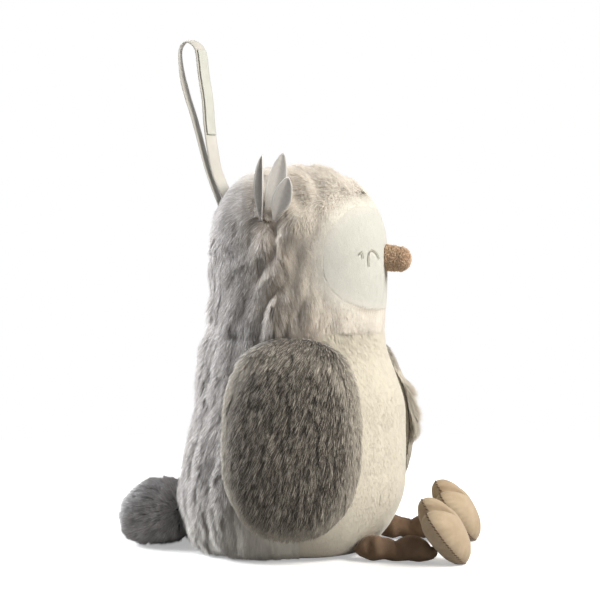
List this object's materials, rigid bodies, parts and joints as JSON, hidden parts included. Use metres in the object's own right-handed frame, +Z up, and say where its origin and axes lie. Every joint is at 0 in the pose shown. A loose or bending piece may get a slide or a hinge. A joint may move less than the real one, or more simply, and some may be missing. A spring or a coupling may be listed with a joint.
{
  "type": "plush owl",
  "caption": "Sitting stuffed owl with closed eyes, flap wings, floppy legs, a stuffed tail, felt tufts and a ribbon hanging loop.",
  "frame": {"origin": "middle of the flat seat, on the surface that the owl sits on", "axes": "+Z up, -Y the way the owl faces, +X to the owl's own left"},
  "size_m": [0.1373, 0.1828, 0.2662],
  "materials": {
    "stuffing": "white polyester fibre filling",
    "back_plush": "long grey-beige pile combed downward",
    "belly_plush": "short cream pile",
    "face_plush": "very short off-white pile",
    "wing_plush": "streaked dark grey-brown pile",
    "lining_plush": "short grey pile under the wing",
    "tail_plush": "dark grey pile",
    "beak_boucle": "brown looped pile",
    "suede": "matte beige faux suede",
    "felt": "grey felt with pale cut edges",
    "ribbon": "woven cream-grey ribbon",
    "label_satin": "plain white satin, bare",
    "eye_thread": "olive-grey embroidery thread"
  },
  "bodies": {
    "owl_body": {"torso_stuffing": "stuffing", "head_stuffing": "stuffing", "belly_panel": "belly_plush", "base_panel": "belly_plush", "back_panel_left": "back_plush", "back_panel_right": "back_plush", "hood_left": "back_plush", "hood_right": "back_plush", "face_panel": "face_plush", "beak_cover": "beak_boucle", "beak_stuffing": "stuffing", "eye_left": "eye_thread", "eye_right": "eye_thread", "lash_left": "eye_thread", "lash_right": "eye_thread"},
    "wing_left": {"wing_left_cover": "wing_plush", "wing_left_lining": "lining_plush", "wing_left_wadding": "stuffing"},
    "wing_right": {"wing_right_cover": "wing_plush", "wing_right_lining": "lining_plush", "wing_right_wadding": "stuffing"},
    "tail": {"tail_top_panel": "tail_plush", "tail_bottom_panel": "tail_plush", "tail_stuffing": "stuffing"},
    "leg_left": {"leg_left_sleeve": "suede", "leg_left_filling": "stuffing"},
    "foot_left": {"foot_left_sole": "suede", "foot_left_upper": "suede", "foot_left_stuffing": "stuffing"},
    "leg_right": {"leg_right_sleeve": "suede", "leg_right_filling": "stuffing"},
    "foot_right": {"foot_right_sole": "suede", "foot_right_upper": "suede", "foot_right_stuffing": "stuffing"},
    "tuft_left": {"feather_left_rear": "felt", "feather_left_middle": "felt", "feather_left_front": "felt"},
    "tuft_right": {"feather_right_rear": "felt", "feather_right_middle": "felt", "feather_right_front": "felt"},
    "loop": {"hang_loop": "ribbon", "care_label": "label_satin"}
  },
  "joints": [
    {"name": "wing_left_lift", "type": "hinge", "parent": "owl_body", "child": "wing_left", "pos_m": [0.04215, -0.02241, 0.1101], "axis": [-0.4695, -0.8829, 0], "range_deg": [0, 75]},
    {"name": "wing_right_lift", "type": "hinge", "parent": "owl_body", "child": "wing_right", "pos_m": [-0.04648, -0.00695, 0.1101], "axis": [-0.1478, 0.989, 0], "range_deg": [0, 75]},
    {"name": "tail_lift", "type": "hinge", "parent": "owl_body", "child": "tail", "pos_m": [0, 0.05573, 0.019], "axis": [1, 0, 0], "range_deg": [-5, 20], "stiffness_Nm_per_rad": 0.08},
    {"name": "hip_left", "type": "hinge", "parent": "owl_body", "child": "leg_left", "pos_m": [0.033, -0.03588, 0.0055], "axis": [-1, 0, 0], "range_deg": [-45, 15]},
    {"name": "ankle_left", "type": "hinge", "parent": "leg_left", "child": "foot_left", "pos_m": [0.033, -0.07588, 0.00638], "axis": [-1, 0, 0], "range_deg": [-25, 6]},
    {"name": "hip_right", "type": "hinge", "parent": "owl_body", "child": "leg_right", "pos_m": [-0.033, -0.03588, 0.0055], "axis": [-1, 0, 0], "range_deg": [-45, 15]},
    {"name": "ankle_right", "type": "hinge", "parent": "leg_right", "child": "foot_right", "pos_m": [-0.033, -0.07588, 0.00638], "axis": [-1, 0, 0], "range_deg": [-25, 6]},
    {"name": "tuft_left_bend", "type": "hinge", "parent": "owl_body", "child": "tuft_left", "pos_m": [0.04467, 0.00612, 0.16847], "axis": [0, 1, 0], "range_deg": [-12, 30], "stiffness_Nm_per_rad": 0.004},
    {"name": "tuft_right_bend", "type": "hinge", "parent": "owl_body", "child": "tuft_right", "pos_m": [-0.04467, 0.00612, 0.16847], "axis": [0, -1, 0], "range_deg": [-12, 30], "stiffness_Nm_per_rad": 0.004},
    {"name": "loop_swing", "type": "hinge", "parent": "owl_body", "child": "loop", "pos_m": [0, 0.03803, 0.1727], "axis": [1, 0, 0], "range_deg": [-70, 0], "stiffness_Nm_per_rad": 0.01}
  ]
}
